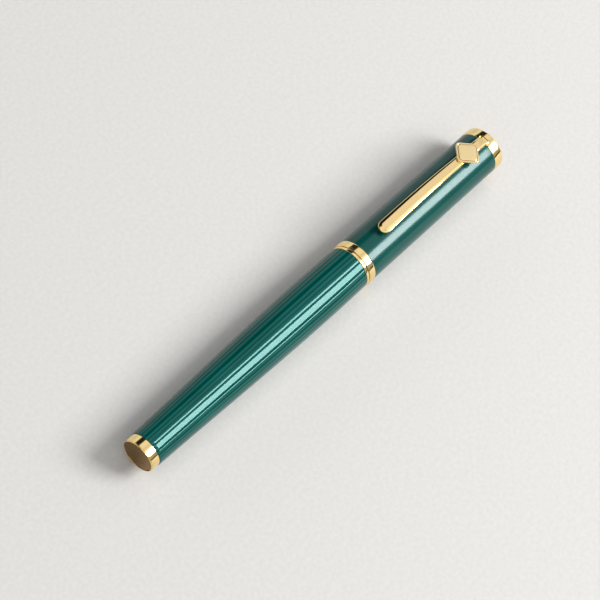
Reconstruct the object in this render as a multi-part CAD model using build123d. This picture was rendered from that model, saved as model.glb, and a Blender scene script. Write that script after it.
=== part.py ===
"""Fountain pen with a pull-off cap, a fluted barrel and a piston converter. Millimetres.

Every piece is drawn about the pen's own axis, which is X: x is 0 at the barrel's end face and
grows towards the cap's top. lay_down() then puts the origin under the middle of the pen as it
lies on a surface with its clip up, +Z up and the cap towards +X.
"""

from build123d import *
import os

# ---- clearances --------------------------------------------------------------------------------
seat_gap = 0.02  # between pieces pressed or screwed together
slip_gap = 0.10  # radial, between pieces that slide or screw past each other
piston_gap = 0.05  # radial, between the piston or its rod and the bore
mouth_gap = 0.10  # axial, between the cap's lip and the barrel's front ring
shoulder_gap = 0.05  # axial, between the section's shoulder and the barrel's front ring

# ---- converter ---------------------------------------------------------------------------------
reservoir_radius = 3.65
reservoir_wall = 0.60
ferrule_wall = 0.14
ferrule_length = 14.0
ferrule_overlap = 4.0  # of the ferrule over the reservoir
ferrule_end_wall = 0.8
ferrule_end_room = 1.0  # round the rod, in the ferrule's end wall
guide_length = 4.0
knob_radius = 3.50
knob_length = 20.0
knob_flutes = 24
knob_flute_depth = 0.15
knob_flute_width = 0.40
knob_collar = 2.0  # plain stretch at each end of the knob
knob_edge = 0.3
knob_neck_wall = 0.8  # of the neck that reaches into the ferrule
rod_radius = 1.30
rod_groove = 0.22
rod_pitch = 1.0
rod_tail = 0.5  # of the rod left in its guide with the piston fully forward
rod_end_room = 1.0  # of solid knob behind the rod
rod_plain_end = 1.0  # of the rod before its first groove
rod_socket = 1.92  # of the rod inside the seal
seal_length = 3.2
seal_groove = 0.35
seal_lip = 0.8
seal_slope = 0.2  # length of the slope from each lip into the groove
piston_margin = 0.6  # left between the seal and each end of its stroke
mouth_bush_length = 7.9
mouth_wall_clear = 0.25  # between the converter's mouth and the nib housing

# ---- feed, nib and housing ---------------------------------------------------------------------
feed_radius = 2.62
nib_gap = 0.03
nib_thickness = 0.28
nib_reach = 21.7  # of the nib's point ahead of the section's front ring
nib_depth = 6.5  # of the nib inside its housing
nib_shoulder = 6.0  # where the tines start to narrow, ahead of the ring
nib_half_width = 2.74
nib_point_half_width = 0.40
nib_droop = 1.35  # how far the point lies under the top of the nib
nib_slit = 0.12
nib_droop_start = 0.35  # share of the reach after which the nib droops
nib_tine_start = 0.22  # share of the reach with straight sides
nib_tine_pull = 0.30  # share of the reach where the tines are pulled in
nib_tine_waist = 0.42  # how far they are pulled in, as a share of the half width
breather_radius = 0.50
breather_place = 7.5
pellet_radius = 0.42
feed_reach = 16.5
feed_nose_radius = 0.75
fin_count = 12
fin_pitch = 0.80
fin_slot = 0.36
fin_core_radius = 1.25
first_fin = 0.9  # ahead of the section's front ring
feed_root_gap = 0.8  # ahead of the housing's floor
ink_channel = 0.5
housing_wall = 0.33
housing_length = 9.4
housing_floor = 1.4
nipple_radius = 1.10
nipple_bore = 0.60
nipple_length = 6.8
nipple_flange_length = 0.6
nipple_flange_width = 0.9

# ---- grip section ------------------------------------------------------------------------------
bush_bore_room = 0.30  # round the reservoir
bush_wall = 0.40
thread_depth = 0.30
thread_pitch = 0.80
thread_turns = 9
ridge_start, ridge_end = 0.38, 0.62  # shares of the pitch between which a thread is highest
bush_tail = 1.6  # plain stretch behind the thread
bush_neck = 2.1  # plain stretch between the thread and the barrel's front
spigot_length = 4.0  # of the bush inside the grip
seal_ring_thickness = 0.60
grip_wall = 0.93
grip_length = 17.3
grip_waist_wall = 1.05  # outside the nib housing
grip_seat_wall = 0.40  # outside the reservoir
grip_waist_place = 13.4  # ahead of the grip's rear end
grip_lip_flare = 0.30
grip_ring_length = 1.2
grip_ring_proud = 0.10
grip_ring_edge = 0.35
shoulder_length = 2.5
shoulder_proud = 0.05
shoulder_bead = 0.07
bead_half_base, bead_half_top = 0.40, 0.15

# ---- barrel ------------------------------------------------------------------------------------
barrel_length = 77.96  # of the fluted tube
barrel_room = 0.41  # round the converter's ferrule
tail_wall = 0.88
waist_swell = 0.70
waist_place = 27.3  # from the tube's tail
belly_swell = 1.40
belly_place = 63.3
front_wall = 0.78
insert_wall = 0.53
insert_clear = 0.30  # behind the section's bush
insert_tail = 3.0
front_ring_length = 0.90
front_ring_proud = 0.11
front_ring_edge = 0.12
flute_count = 40
flute_depth = 0.12
flute_width = 0.36
plug_length = 5.3
converter_room = 14.0  # behind the knob, so that the converter can be pulled off inside
end_ring_length = 2.74
end_ring_step = 0.15  # how far the end ring lies under the tube
end_ring_lip = 0.31
end_disc_thickness = 0.9
end_disc_recess = 0.10
end_rim_chamfer = 0.10
boss_wall = 1.2  # of the end ring's flange outside the plug's boss
stud_radius = 1.50
stud_length = 3.4

# ---- cap ---------------------------------------------------------------------------------------
clutch_gap = 0.08
clutch_wall = 0.33
clutch_length = 4.1
clutch_lead = 0.8  # length of the slope at the clutch's mouth
clutch_lead_rise = 0.1
cap_wall = 0.65
cap_taper = 0.10
band_length = 2.20
band_recess = 0.30
band_proud = 0.15
band_lip = 0.40
band_round = 0.25
sleeve_room = 0.15  # round the grip
sleeve_end_room = 0.20  # round the grip's front ring
sleeve_floor = 1.3
sleeve_slope = 3.0  # length of the slope between the sleeve's two bores
tip_room = 5.4  # ahead of the nib's point
cap_plug_length = 3.0
washer_thickness = 0.40
top_ring_length = 3.30
top_ring_proud = 0.08
top_ring_round = 0.35
top_ring_wall = 1.18
top_ring_flange = 1.9
finial_recess = 0.12
finial_dome = 0.35
finial_flat = 0.05  # radius of the flat at the dome's middle
finial_shoulder = 0.75  # share of the dome's height that is reached halfway to its middle
stud_end_gap = 0.4  # between the finial's stud and the inner sleeve

# ---- clip --------------------------------------------------------------------------------------
clip_length = 44.6  # from the hinge knuckle to the rounded end
clip_tip_half_width = 1.90
clip_neck_half_width = 1.45
clip_thickness = 0.95
clip_edge_round = 0.40
clip_tip_rise = 2.05  # top of the clip above the cap's side, at its free end
clip_bow_rise = 2.75  # the same, where it stands highest
clip_bow_place = 18.0  # from the free end
clip_seat_rise = 2.30  # the same, under the lozenge
clip_pad_radius = 0.95
clip_pad_place = 2.6  # from the free end
clip_pad_gap = 0.10
knuckle_radius = 0.50
knuckle_inset = 0.65  # into the top ring
knuckle_sink = 0.24  # of the knuckle's middle above the cap's side
neck_drop = 0.4  # of the neck's underside below the knuckle's middle, in knuckle radii
neck_rise = 0.28  # of the neck above the knuckle, at the top ring's face
neck_under_reach = 0.3  # of the neck's level underside behind the top ring's face
seat_half = 0.42  # half of the flat seat, as a share of the lozenge's length
seat_under_cut = 0.6  # how much sooner the seat's underside turns down
notch_gap = 0.08
lozenge_length = 8.3  # from corner to corner, before the corners are rounded
lozenge_width = 8.65
lozenge_thickness = 0.62
lozenge_panel_rise = 0.16
lozenge_border = 0.62
lozenge_corner = 0.45
lozenge_dish = 0.22  # how far each side bows inwards
lozenge_place = 7.95  # of its middle, from the hinge knuckle

# ---- radii that follow from the fits -----------------------------------------------------------
reservoir_bore = reservoir_radius - reservoir_wall
ferrule_radius = reservoir_radius + seat_gap + ferrule_wall
barrel_bore = max(ferrule_radius, knob_radius) + barrel_room
tail_radius = barrel_bore + tail_wall
waist_radius = tail_radius + waist_swell
belly_radius = tail_radius + belly_swell
bush_bore = reservoir_radius + bush_bore_room
thread_root = bush_bore + bush_wall
thread_crest = thread_root + thread_depth
insert_crest = thread_crest + slip_gap
insert_root = insert_crest + thread_depth
insert_radius = insert_root + insert_wall
insert_bore = insert_radius + seat_gap
front_radius = insert_bore + front_wall
front_ring_radius = front_radius + front_ring_proud
front_ring_bore = insert_root + slip_gap
end_ring_radius = tail_radius - end_ring_step
end_disc_radius = end_ring_radius - end_ring_lip - seat_gap
end_ring_bore = barrel_bore - boss_wall

nib_inner = feed_radius + nib_gap
nib_outer = nib_inner + nib_thickness
housing_bore = nib_outer + seat_gap
housing_radius = housing_bore + housing_wall
grip_front_bore = housing_radius + seat_gap
grip_rear_bore = thread_root + seat_gap
grip_radius = grip_rear_bore + grip_wall
grip_waist_radius = max(grip_front_bore + grip_waist_wall, bush_bore + grip_seat_wall)
grip_lip_radius = grip_waist_radius + grip_lip_flare
grip_ring_radius = grip_lip_radius + grip_ring_proud
shoulder_radius = grip_radius + shoulder_proud
bead_radius = shoulder_radius + shoulder_bead

clutch_bore = bead_radius + clutch_gap
clutch_radius = clutch_bore + clutch_wall
cap_bore = clutch_radius + seat_gap
cap_radius = cap_bore + cap_wall
cap_top_radius = cap_radius - cap_taper
band_seat_radius = cap_radius - band_recess
band_radius = cap_radius + band_proud
sleeve_radius = cap_bore - seat_gap
sleeve_mouth_bore = grip_radius + sleeve_room
sleeve_end_bore = grip_ring_radius + sleeve_end_room
top_ring_radius = cap_top_radius + top_ring_proud
finial_radius = top_ring_radius - top_ring_wall

# ---- places along the axis ---------------------------------------------------------------------
tail_x = end_ring_length
front_x = tail_x + barrel_length
front_ring_end = front_x + front_ring_length
plug_end = tail_x + plug_length

shoulder_x = front_ring_end + shoulder_gap
grip_x = shoulder_x + shoulder_length
grip_end = grip_x + grip_length
nose_x = grip_end + grip_ring_length
thread_end = front_x - bush_neck
thread_x = thread_end - thread_pitch * thread_turns
bush_x = thread_x - bush_tail
insert_x = bush_x - insert_clear - insert_tail
spigot_end = grip_x + spigot_length
housing_x = nose_x - housing_length
nipple_x = housing_x - nipple_length
nib_x = nose_x - nib_depth
nib_end = nose_x + nib_reach
point_end = nib_end + pellet_radius

converter_end = housing_x - mouth_wall_clear
knob_x = plug_end + converter_room
knob_end = knob_x + knob_length
ferrule_x = knob_end + slip_gap
ferrule_end = ferrule_x + ferrule_length
reservoir_x = ferrule_end - ferrule_overlap
mouth_bush_x = converter_end - mouth_bush_length
guide_end = reservoir_x
guide_x = guide_end - guide_length
seal_x = reservoir_x + piston_margin
seal_end = seal_x + seal_length
rod_x = knob_x + rod_end_room
guided_stroke = guide_x - rod_x - rod_tail
piston_stroke = min(mouth_bush_x - piston_margin - seal_end, guided_stroke)

lip_x = front_ring_end + mouth_gap
band_end = lip_x + band_length
tube_x = lip_x + band_lip
clutch_end = tube_x + clutch_length
sleeve_x = clutch_end + seat_gap
sleeve_floor_x = point_end + tip_room
sleeve_end = sleeve_floor_x + sleeve_floor
cap_plug_x = sleeve_end + seat_gap
cap_plug_end = cap_plug_x + cap_plug_length
tube_end = cap_plug_end + washer_thickness
pen_length = tube_end + top_ring_length

knuckle_x = tube_end + knuckle_inset
knuckle_z = cap_top_radius + knuckle_sink
clip_tip_x = knuckle_x - clip_length
lozenge_x = knuckle_x - lozenge_place
clip_seat_z = cap_top_radius + clip_seat_rise


# ---- shared shapes -----------------------------------------------------------------------------
def turned(*outline):
    """A solid of revolution about the pen's axis, from (x, radius) corners."""
    return revolve(make_face(Polyline(*outline, close=True)), Axis.X)


def tube(start, end, outer, inner):
    return turned((start, inner), (end, inner), (end, outer), (start, outer))


def rod(start, end, radius):
    return turned((start, 0), (end, 0), (end, radius), (start, radius))


def ridges(start, pitch, turns, low, high):
    """Corners of a thread's profile: ridges from low to high, one for each turn."""
    corners = [(start, low)]
    for turn in range(turns):
        foot = start + turn * pitch
        crest = [(foot + pitch * ridge_start, high), (foot + pitch * ridge_end, high)]
        corners += [*crest, (foot + pitch, low)]
    return corners


def slabs(count, start, end, width, reach):
    """Slabs through the axis, each making two opposite grooves where it meets a surface."""
    blank = Pos((start + end) / 2, 0, 0) * Box(end - start, width, 2 * reach)
    return [Rot(360 / count * turn, 0, 0) * blank for turn in range(count // 2)]


def barrel_curve(inset):
    """The barrel's outline from tail to front, a given depth under its surface."""
    return Spline(
        (tail_x, tail_radius - inset),
        (tail_x + waist_place, waist_radius - inset),
        (tail_x + belly_place, belly_radius - inset),
        (front_x, front_radius - inset),
    )


def under_curve(curve, floor):
    """A solid between a curve and a plain cylinder under it."""
    start, end = curve @ 0, curve @ 1
    sides = Polyline((end.X, end.Y), (end.X, floor), (start.X, floor), (start.X, start.Y))
    return revolve(make_face([curve, sides]), Axis.X)


# ---- barrel ------------------------------------------------------------------------------------
def barrel_body():
    """A tube whose bore opens evenly from the plug to the insert, cut with lengthwise flutes."""
    blank = under_curve(barrel_curve(0), 0)
    core = under_curve(barrel_curve(flute_depth), 0)
    cutters = slabs(flute_count, tail_x, front_x, flute_width, belly_radius + 1)
    grooves = (blank - core) & (Part() + cutters)
    bore = turned(
        (tail_x, 0),
        (tail_x, barrel_bore),
        (plug_end, barrel_bore),
        (insert_x - seat_gap, insert_bore),
        (front_x, insert_bore),
        (front_x, 0),
    )
    return blank - grooves - bore


def barrel_front_ring():
    edge = front_ring_edge
    return turned(
        (front_x, front_ring_bore),
        (front_ring_end, front_ring_bore),
        (front_ring_end, front_ring_radius - edge),
        (front_ring_end - edge, front_ring_radius),
        (front_x + edge, front_ring_radius),
        (front_x, front_ring_radius - edge),
    )


def barrel_thread_insert():
    thread = ridges(thread_x, thread_pitch, thread_turns, insert_root, insert_crest)
    return turned(
        (insert_x, barrel_bore),
        (insert_x + insert_tail, barrel_bore),
        (insert_x + insert_tail, insert_root),
        *thread,
        (front_x, insert_root),
        (front_x, insert_radius),
        (insert_x, insert_radius),
    )


def barrel_end_plug():
    body = rod(tail_x, plug_end, barrel_bore - seat_gap)
    boss = rod(tail_x - (end_ring_length - end_disc_thickness - end_disc_recess), tail_x,
               end_ring_bore - seat_gap)
    hole = rod(0, end_disc_recess + end_disc_thickness + stud_length + seat_gap,
               stud_radius + seat_gap)
    return body + boss - hole


def barrel_end_ring():
    lip = end_ring_radius - end_ring_lip
    floor = end_disc_recess + end_disc_thickness
    return turned(
        (0, lip),
        (floor, lip),
        (floor, end_ring_bore),
        (end_ring_length, end_ring_bore),
        (end_ring_length, end_ring_radius),
        (end_rim_chamfer, end_ring_radius),
        (0, end_ring_radius - end_rim_chamfer),
    )


def barrel_end_disc():
    back = end_disc_recess + end_disc_thickness
    return rod(end_disc_recess, back, end_disc_radius) + rod(back, back + stud_length, stud_radius)


# ---- section -----------------------------------------------------------------------------------
def section_thread_bush():
    thread = ridges(thread_x, thread_pitch, thread_turns, thread_root, thread_crest)
    return turned(
        (bush_x, bush_bore),
        (spigot_end, bush_bore),
        (spigot_end, thread_root),
        *reversed(thread),
        (bush_x, thread_root),
    )


def section_seal_ring():
    middle = front_x - seal_ring_thickness
    half = seal_ring_thickness / 2
    ring = Torus(thread_root + half, half - seat_gap)
    return Pos(middle, 0, 0) * Rot(0, 90, 0) * ring


def section_shoulder_ring():
    """The metal ring behind the grip, with the bead that the cap clicks over."""
    bead = shoulder_x + shoulder_length / 2
    return turned(
        (shoulder_x, grip_rear_bore),
        (grip_x, grip_rear_bore),
        (grip_x, shoulder_radius),
        (bead + bead_half_base, shoulder_radius),
        (bead + bead_half_top, bead_radius),
        (bead - bead_half_top, bead_radius),
        (bead - bead_half_base, shoulder_radius),
        (shoulder_x, shoulder_radius),
    )


def grip_section():
    outline = Spline(
        (grip_x, grip_radius),
        (grip_x + grip_waist_place, grip_waist_radius),
        (grip_end, grip_lip_radius),
    )
    spigot_seat = rod(grip_x, spigot_end + seat_gap, grip_rear_bore)
    reservoir_seat = rod(spigot_end, housing_x, bush_bore)
    return under_curve(outline, grip_front_bore) - spigot_seat - reservoir_seat


def section_front_ring():
    edge = grip_ring_edge
    return turned(
        (grip_end, grip_front_bore),
        (nose_x, grip_front_bore),
        (nose_x, grip_ring_radius - edge),
        (nose_x - edge, grip_ring_radius),
        (grip_end, grip_ring_radius),
    )


# ---- nib, feed and housing ---------------------------------------------------------------------
def nib_housing():
    cup = tube(housing_x, nose_x, housing_radius, housing_bore)
    floor = tube(housing_x, housing_x + housing_floor, housing_bore, nipple_radius + seat_gap)
    return cup + floor


def feed_nipple():
    """The inlet that the converter pushes onto, with a flange against the housing's floor."""
    flange_x = housing_x + housing_floor
    pipe = tube(nipple_x, flange_x, nipple_radius, nipple_bore)
    flange = tube(flange_x, flange_x + nipple_flange_length, nipple_radius + nipple_flange_width,
                  nipple_bore)
    return pipe + flange


def nib_line(inset):
    """The nib's top line: straight in the housing, then drooping to the point."""
    radius = nib_outer - inset
    straight = Line((nib_x, radius), (nose_x + nib_shoulder, radius))
    droop = Bezier(
        (nose_x + nib_shoulder, radius),
        (nose_x + nib_shoulder + nib_reach * nib_droop_start, radius),
        (nib_end, radius - nib_droop),
    )
    return [straight, droop]


def nib_sheet():
    outer, inner = nib_line(0), nib_line(nib_thickness)
    ends = [Line(outer[0] @ 0, inner[0] @ 0), Line(outer[1] @ 1, inner[1] @ 1)]
    return revolve(make_face(outer + inner + ends), Axis.X)


def nib_plan():
    """Half of the nib seen from above, then its mirror image."""
    shoulder = nose_x + nib_shoulder
    edge = Bezier(
        (shoulder, nib_half_width),
        (shoulder + nib_reach * nib_tine_start, nib_half_width),
        (shoulder + nib_reach * nib_tine_pull, nib_half_width * nib_tine_waist),
        (nib_end, nib_point_half_width),
    )
    rest = Polyline((nib_end, nib_point_half_width), (nib_end, 0), (nib_x, 0),
                    (nib_x, nib_half_width), (shoulder, nib_half_width))
    half = make_face([edge, rest])
    return half + mirror(half, Plane.XZ)


def nib():
    plan = extrude(nib_plan(), nib_outer + 1)
    slit_x = nose_x + breather_place
    slit = Pos((slit_x + nib_end) / 2, 0, nib_outer / 2 + 1)
    slit *= Box(nib_end - slit_x + 1, nib_slit, nib_outer + 2)
    breather = Pos(slit_x, 0, nib_outer) * Cylinder(breather_radius, 2)
    return (nib_sheet() & plan) - slit - breather


def nib_pellet():
    middle = nib_outer - nib_droop - nib_thickness / 2
    ball = Pos(nib_end, 0, middle) * Sphere(pellet_radius)
    front = Pos(nib_end + pellet_radius, 0, middle) * Box(2 * pellet_radius, 2, 2)
    slit = Pos(nib_end, 0, middle) * Box(pellet_radius * 1.2, nib_slit, 2)
    return (ball & front) - slit


def feed():
    """The feed lies under the nib; its fins are slots that stop at a solid core."""
    root_x = housing_x + housing_floor + feed_root_gap
    nose = nose_x + feed_reach
    bend = nose_x + nib_shoulder
    body = turned(
        (root_x, 0),
        (nose, 0),
        (nose, feed_nose_radius),
        (bend, feed_radius),
        (root_x, feed_radius),
    )
    for fin in range(fin_count):
        place = nose_x + first_fin + fin * fin_pitch
        ring = tube(place, place + fin_slot, feed_radius + 1, fin_core_radius)
        lower = Pos(place, 0, -feed_radius) * Box(4 * fin_slot, 4 * feed_radius, 2 * feed_radius)
        body -= ring & lower
    channel = Pos(nose, 0, feed_radius) * Box(2 * feed_reach, ink_channel, feed_radius)
    return body - channel


# ---- converter ---------------------------------------------------------------------------------
def converter_reservoir():
    return tube(reservoir_x, converter_end, reservoir_radius, reservoir_bore)


def converter_mouth_bush():
    return tube(mouth_bush_x, converter_end, reservoir_bore - seat_gap, nipple_radius + piston_gap)


def converter_ferrule():
    wall = tube(ferrule_x, ferrule_end, ferrule_radius, ferrule_radius - ferrule_wall)
    rear = tube(ferrule_x, ferrule_x + ferrule_end_wall, ferrule_radius,
                rod_radius + ferrule_end_room)
    return wall + rear


def rod_guide():
    """The nut inside the ferrule that steers the rod."""
    return tube(guide_x, guide_end, ferrule_radius - ferrule_wall - seat_gap,
                rod_radius + piston_gap)


def converter_knob():
    edge = knob_edge
    body = turned(
        (knob_x, 0),
        (knob_end, 0),
        (knob_end, knob_radius - edge),
        (knob_end - edge, knob_radius),
        (knob_x + edge, knob_radius),
        (knob_x, knob_radius - edge),
    )
    start, end = knob_x + knob_collar, knob_end - knob_collar
    skin = tube(start, end, knob_radius + 1, knob_radius - knob_flute_depth)
    cutters = slabs(knob_flutes, start, end, knob_flute_width, knob_radius + 1)
    grooves = skin & (Part() + cutters)
    neck = tube(knob_end, guide_x - slip_gap, rod_radius + knob_neck_wall,
                rod_radius + piston_gap)
    bore = rod(rod_x - slip_gap, knob_end, rod_radius + piston_gap)
    return body - grooves - bore + neck


def piston_rod():
    """Screw spindle, shown with ring grooves where its visible stretch is."""
    start = rod_x + rod_plain_end
    turns = int((guide_end - start) / rod_pitch)
    thread = ridges(start, rod_pitch, turns, rod_radius - rod_groove, rod_radius)
    return turned(
        (rod_x, 0),
        (rod_x, rod_radius),
        (start - rod_plain_end / 2, rod_radius),
        *thread,
        (seal_x, rod_radius),
        (seal_x + rod_socket, rod_radius),
        (seal_x + rod_socket, 0),
    )


def piston_seal():
    radius = reservoir_bore - piston_gap
    groove = radius - seal_groove
    body = turned(
        (seal_x, 0),
        (seal_end, 0),
        (seal_end, radius),
        (seal_end - seal_lip, radius),
        (seal_end - seal_lip - seal_slope, groove),
        (seal_x + seal_lip + seal_slope, groove),
        (seal_x + seal_lip, radius),
        (seal_x, radius),
    )
    return body - rod(seal_x, seal_x + rod_socket, rod_radius + seat_gap)


# ---- cap ---------------------------------------------------------------------------------------
def cap_body():
    return turned(
        (tube_x, cap_bore),
        (tube_end, cap_bore),
        (tube_end, cap_top_radius),
        (band_end, cap_radius),
        (band_end, band_seat_radius),
        (tube_x, band_seat_radius),
    )


def cap_lip_band():
    """Wraps the tube's end, with a rounded shoulder on each side."""
    seat = band_seat_radius + seat_gap
    side = band_radius - band_round
    outline = [
        Polyline((lip_x, side), (lip_x, clutch_bore + slip_gap), (tube_x, clutch_bore + slip_gap),
                 (tube_x, seat), (band_end, seat), (band_end, side)),
        RadiusArc((band_end, side), (band_end - band_round, band_radius), -band_round),
        Line((band_end - band_round, band_radius), (lip_x + band_round, band_radius)),
        RadiusArc((lip_x + band_round, band_radius), (lip_x, side), -band_round),
    ]
    return revolve(make_face(outline), Axis.X)


def cap_clutch_ring():
    """The ring inside the mouth that the section's bead clicks into."""
    return turned(
        (tube_x, clutch_bore + clutch_lead_rise),
        (tube_x + clutch_lead, clutch_bore),
        (clutch_end, clutch_bore),
        (clutch_end, clutch_radius),
        (tube_x, clutch_radius),
    )


def cap_inner_sleeve():
    """The inner cap: it closes round the section's front ring and keeps the nib damp."""
    step_x = grip_x + grip_waist_place
    return turned(
        (sleeve_x, sleeve_mouth_bore),
        (step_x - sleeve_slope, sleeve_mouth_bore),
        (step_x, sleeve_end_bore),
        (sleeve_floor_x, sleeve_end_bore),
        (sleeve_floor_x, 0),
        (sleeve_end, 0),
        (sleeve_end, sleeve_radius),
        (sleeve_x, sleeve_radius),
    )


def cap_plug():
    return tube(cap_plug_x, cap_plug_end, cap_bore - seat_gap, stud_radius + seat_gap)


def clip_washer():
    return tube(cap_plug_end, tube_end, cap_bore - seat_gap, stud_radius + seat_gap)


def cap_top_ring():
    """The gold ring that ends the cap, with a notch where the clip's root enters it."""
    wall = finial_radius + seat_gap
    flange = tube_end + top_ring_flange
    corner = top_ring_radius - top_ring_round
    outline = [
        Polyline((pen_length, corner), (pen_length, wall), (flange, wall),
                 (flange, stud_radius + seat_gap), (tube_end, stud_radius + seat_gap),
                 (tube_end, top_ring_radius), (pen_length - top_ring_round, top_ring_radius)),
        RadiusArc((pen_length - top_ring_round, top_ring_radius), (pen_length, corner),
                  top_ring_round),
    ]
    ring = revolve(make_face(outline), Axis.X)
    depth = knuckle_inset + knuckle_radius + notch_gap
    floor = knuckle_z - knuckle_radius - notch_gap
    notch = Box(depth, 2 * (clip_neck_half_width + notch_gap), 4,
                align=(Align.MIN, Align.CENTER, Align.MIN))
    return ring - Pos(tube_end, 0, floor) * notch


def cap_finial():
    """The cap's end disc, slightly domed, and the stud that holds the top together."""
    back = tube_end + top_ring_flange
    crown = pen_length - finial_recess
    rim = crown - finial_dome
    outline = [
        Polyline((crown, finial_flat), (crown, 0), (back, 0), (back, finial_radius),
                 (rim, finial_radius)),
        ThreePointArc((rim, finial_radius), (rim + finial_dome * finial_shoulder, finial_radius / 2),
                      (crown, finial_flat)),
    ]
    return revolve(make_face(outline), Axis.X) + rod(cap_plug_x + stud_end_gap, back, stud_radius)


# ---- clip --------------------------------------------------------------------------------------
def clip_side():
    """The clip seen from the side: a long bow, a flat seat, and a neck down to the knuckle."""
    tip = cap_top_radius + clip_tip_rise
    bow = cap_top_radius + clip_bow_rise
    seat_start = lozenge_x - lozenge_length * seat_half
    seat_end = lozenge_x + lozenge_length * seat_half
    low = clip_thickness
    top = Spline((clip_tip_x, tip), (clip_tip_x + clip_bow_place, bow), (seat_start, clip_seat_z))
    under = Spline((clip_tip_x, tip - low), (clip_tip_x + clip_bow_place, bow - low),
                   (seat_start, clip_seat_z - low))
    neck_top = knuckle_z + knuckle_radius
    neck_under = knuckle_z - knuckle_radius * neck_drop
    neck = Polyline(
        (seat_start, clip_seat_z),
        (seat_end, clip_seat_z),
        (tube_end, neck_top + neck_rise),
        (knuckle_x, neck_top),
        (knuckle_x, neck_under),
        (tube_end - neck_under_reach, neck_under),
        (seat_end - seat_under_cut, clip_seat_z - low),
        (seat_start, clip_seat_z - low),
    )
    end = Line((clip_tip_x, tip), (clip_tip_x, tip - low))
    return Plane.XZ * make_face([top, under, neck, end])


def clip_plan():
    """The clip seen from above: a rounded end, tapering evenly to the neck."""
    start = clip_tip_x + clip_tip_half_width
    neck = lozenge_x - lozenge_length / 2
    wide, narrow = clip_tip_half_width, clip_neck_half_width
    outline = [
        ThreePointArc((start, -wide), (clip_tip_x, 0), (start, wide)),
        Polyline((start, wide), (neck, narrow), (knuckle_x, narrow), (knuckle_x, -narrow),
                 (neck, -narrow), (start, -wide)),
    ]
    return make_face(outline)


def clip_arm():
    side = extrude(clip_side(), 2 * clip_tip_half_width, both=True)
    arm = side & extrude(clip_plan(), 2 * band_radius)
    top_edges = [edge for edge in arm.edges() if on_top_of_arm(edge)]
    arm = fillet(top_edges, clip_edge_round)
    knuckle = Pos(knuckle_x, 0, knuckle_z) * Rot(90, 0, 0)
    knuckle *= Cylinder(knuckle_radius, 2 * clip_neck_half_width)
    pad_x = clip_tip_x + clip_pad_place
    pad = Pos(pad_x, 0, cap_side_at(pad_x) + clip_pad_gap + clip_pad_radius)
    return arm + knuckle + pad * Sphere(clip_pad_radius)


def on_top_of_arm(edge):
    """Long top edges of the bow and its rounded end, found with a little slack."""
    slack = 0.1
    middle = edge @ 0.5
    across = abs(middle.Y) > clip_neck_half_width - slack or middle.X < clip_tip_x + slack
    bowed = middle.X < lozenge_x - lozenge_length * seat_half
    high = middle.Z > cap_top_radius + clip_tip_rise - slack
    return across and bowed and high and edge.length > clip_tip_half_width / 2


def cap_side_at(place):
    """The cap's radius at a place along its tapering tube."""
    share = (place - band_end) / (tube_end - band_end)
    return cap_radius - cap_taper * share


def lozenge_outline(length, width, dish, corner):
    """A diamond whose four sides bow inwards, with rounded corners."""
    right, back, left, front = (length / 2, 0), (0, width / 2), (-length / 2, 0), (0, -width / 2)
    reach = 0.5 - 2 * dish / (length**2 + width**2) ** 0.5
    sides = []
    for start, end in ((right, back), (back, left), (left, front), (front, right)):
        middle = ((start[0] + end[0]) * reach, (start[1] + end[1]) * reach)
        sides.append(ThreePointArc(start, middle, end))
    face = make_face(sides)
    return fillet(face.vertices(), corner)


def clip_lozenge():
    """The bare diamond plate on the clip, with a raised panel inside a plain border."""
    outer = lozenge_outline(lozenge_length, lozenge_width, lozenge_dish, lozenge_corner)
    share = 1 - 2 * lozenge_border / lozenge_width
    inner = lozenge_outline(lozenge_length * share, lozenge_width * share,
                            lozenge_dish * share, lozenge_corner * share)
    plate = extrude(outer, lozenge_thickness)
    panel = extrude(inner, lozenge_thickness + lozenge_panel_rise)
    return Pos(lozenge_x, 0, clip_seat_z) * (plate + panel)


# ---- writing the parts -------------------------------------------------------------------------
def lay_down(piece):
    """From the pen's axis frame to the part's frame, lying on its widest ring."""
    return Pos(-pen_length / 2, 0, band_radius) * piece


pieces = [
    barrel_body, barrel_front_ring, barrel_thread_insert, barrel_end_plug, barrel_end_ring,
    barrel_end_disc, section_thread_bush, section_seal_ring, section_shoulder_ring, grip_section,
    section_front_ring, nib_housing, feed_nipple, nib, nib_pellet, feed, converter_reservoir,
    converter_mouth_bush, converter_ferrule, rod_guide, converter_knob, piston_rod, piston_seal,
    cap_body, cap_lip_band, cap_clutch_ring, cap_inner_sleeve, cap_plug, clip_washer,
    cap_top_ring, cap_finial, clip_arm, clip_lozenge,
]

os.makedirs("parts", exist_ok=True)
for piece in pieces:
    export_step(lay_down(piece()), f"parts/{piece.__name__}.step")

print("length", round(pen_length, 2), "cap radius", round(cap_radius, 2))
print("piston stroke", round(piston_stroke, 2))
print("knuckle", round(knuckle_x - pen_length / 2, 2), round(knuckle_z + band_radius, 2))
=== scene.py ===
"""The looks of a capped fountain pen: a fluted green lacquer barrel, a smooth green cap, gold
fittings and a long gold clip with a bare lozenge, on a pale floor.

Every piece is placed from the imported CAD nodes. Lengths in the outlines are millimetres, the pen's
axis is X, and an outline is a list of (place along the axis, radius, rounding) corners.
"""

from math import asin, cos, pi, radians, sin, sqrt, tan, tau

import bmesh
import bpy
from mathutils import Matrix, Vector


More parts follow.
